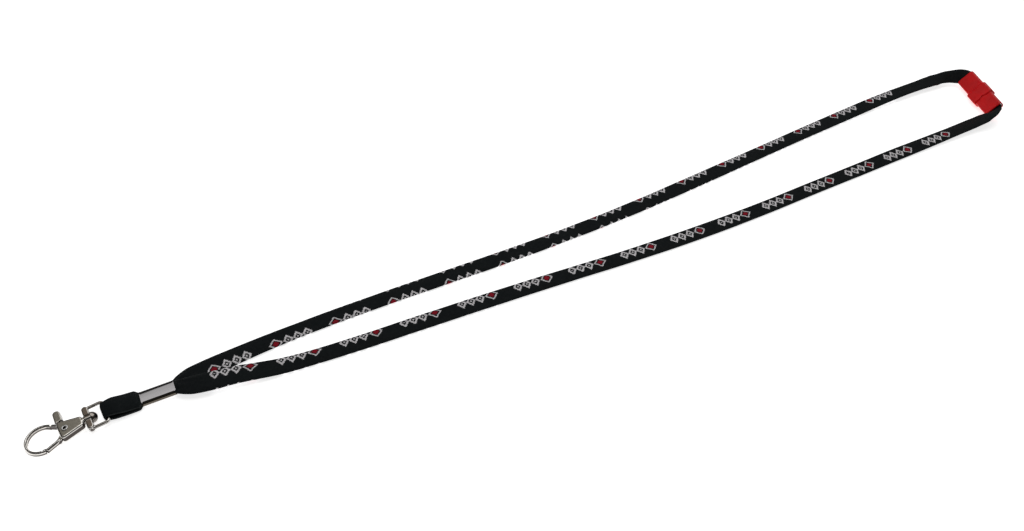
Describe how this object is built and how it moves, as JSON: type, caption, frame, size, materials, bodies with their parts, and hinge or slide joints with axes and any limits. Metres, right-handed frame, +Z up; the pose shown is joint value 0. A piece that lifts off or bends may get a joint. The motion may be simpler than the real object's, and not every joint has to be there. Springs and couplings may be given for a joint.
{
  "type": "lanyard badge holder",
  "caption": "Flat woven neck lanyard laid out on a table, with a swivelling metal trigger hook for a badge, a crimped sleeve and a plastic pull-apart safety buckle.",
  "frame": {"origin": "on the table, under the middle of the box round the hard pieces", "axes": "+X from the hook to the buckle, along the laid-out strap; +Z up from the table; +Y across, towards the far strand"},
  "size_m": [0.5489, 0.0547, 0.0122],
  "materials": {
    "strap_fabric": "woven polyester tube, flattened, with a repeated two-colour woven figure",
    "nickel": "bright nickel plate, slightly warm",
    "ferrule_steel": "polished crimped sleeve",
    "spring_steel": "bare spring wire",
    "buckle_plastic": "glossy moulded plastic"
  },
  "bodies": {
    "strap": {"hook_loop": "strap_fabric", "ferrule": "ferrule_steel", "neck_strap_near": "strap_fabric", "neck_strap_far": "strap_fabric", "buckle_socket": "buckle_plastic", "socket_clamp_lid": "buckle_plastic"},
    "bow": {"swivel_bow": "nickel"},
    "hook": {"hook_body": "nickel", "lever_rivet": "nickel", "lever_spring": "spring_steel", "swivel_rivet": "nickel"},
    "trigger": {"trigger_lever": "nickel"},
    "plug": {"buckle_plug": "buckle_plastic", "plug_clamp_lid": "buckle_plastic"}
  },
  "joints": [
    {"name": "bow_swing", "type": "hinge", "parent": "strap", "child": "bow", "pos_m": [-0.241, 0.0015, 0.003], "axis": [-0.0993, 0.9912, 0.0871], "range_deg": [-85, 85]},
    {"name": "swivel_spin", "type": "hinge", "parent": "bow", "child": "hook", "pos_m": [-0.241, 0.0015, 0.003], "axis": [0.9944, 0.0958, 0.0436], "continuous": true},
    {"name": "trigger_pivot", "type": "hinge", "parent": "hook", "child": "trigger", "pos_m": [-0.25757, -0.0005, 0.00227], "axis": [0.0434, 0.0042, -0.999], "range_deg": [0, 28], "stiffness_Nm_per_rad": 0.01, "springref_deg": -22.92, "deforming": ["lever_spring"]},
    {"name": "buckle_pull", "type": "slide", "parent": "strap", "child": "plug", "axis": [-0.3256, -0.9455, 0], "range_m": [0, 0.014], "deforming": ["neck_strap_near"]}
  ]
}
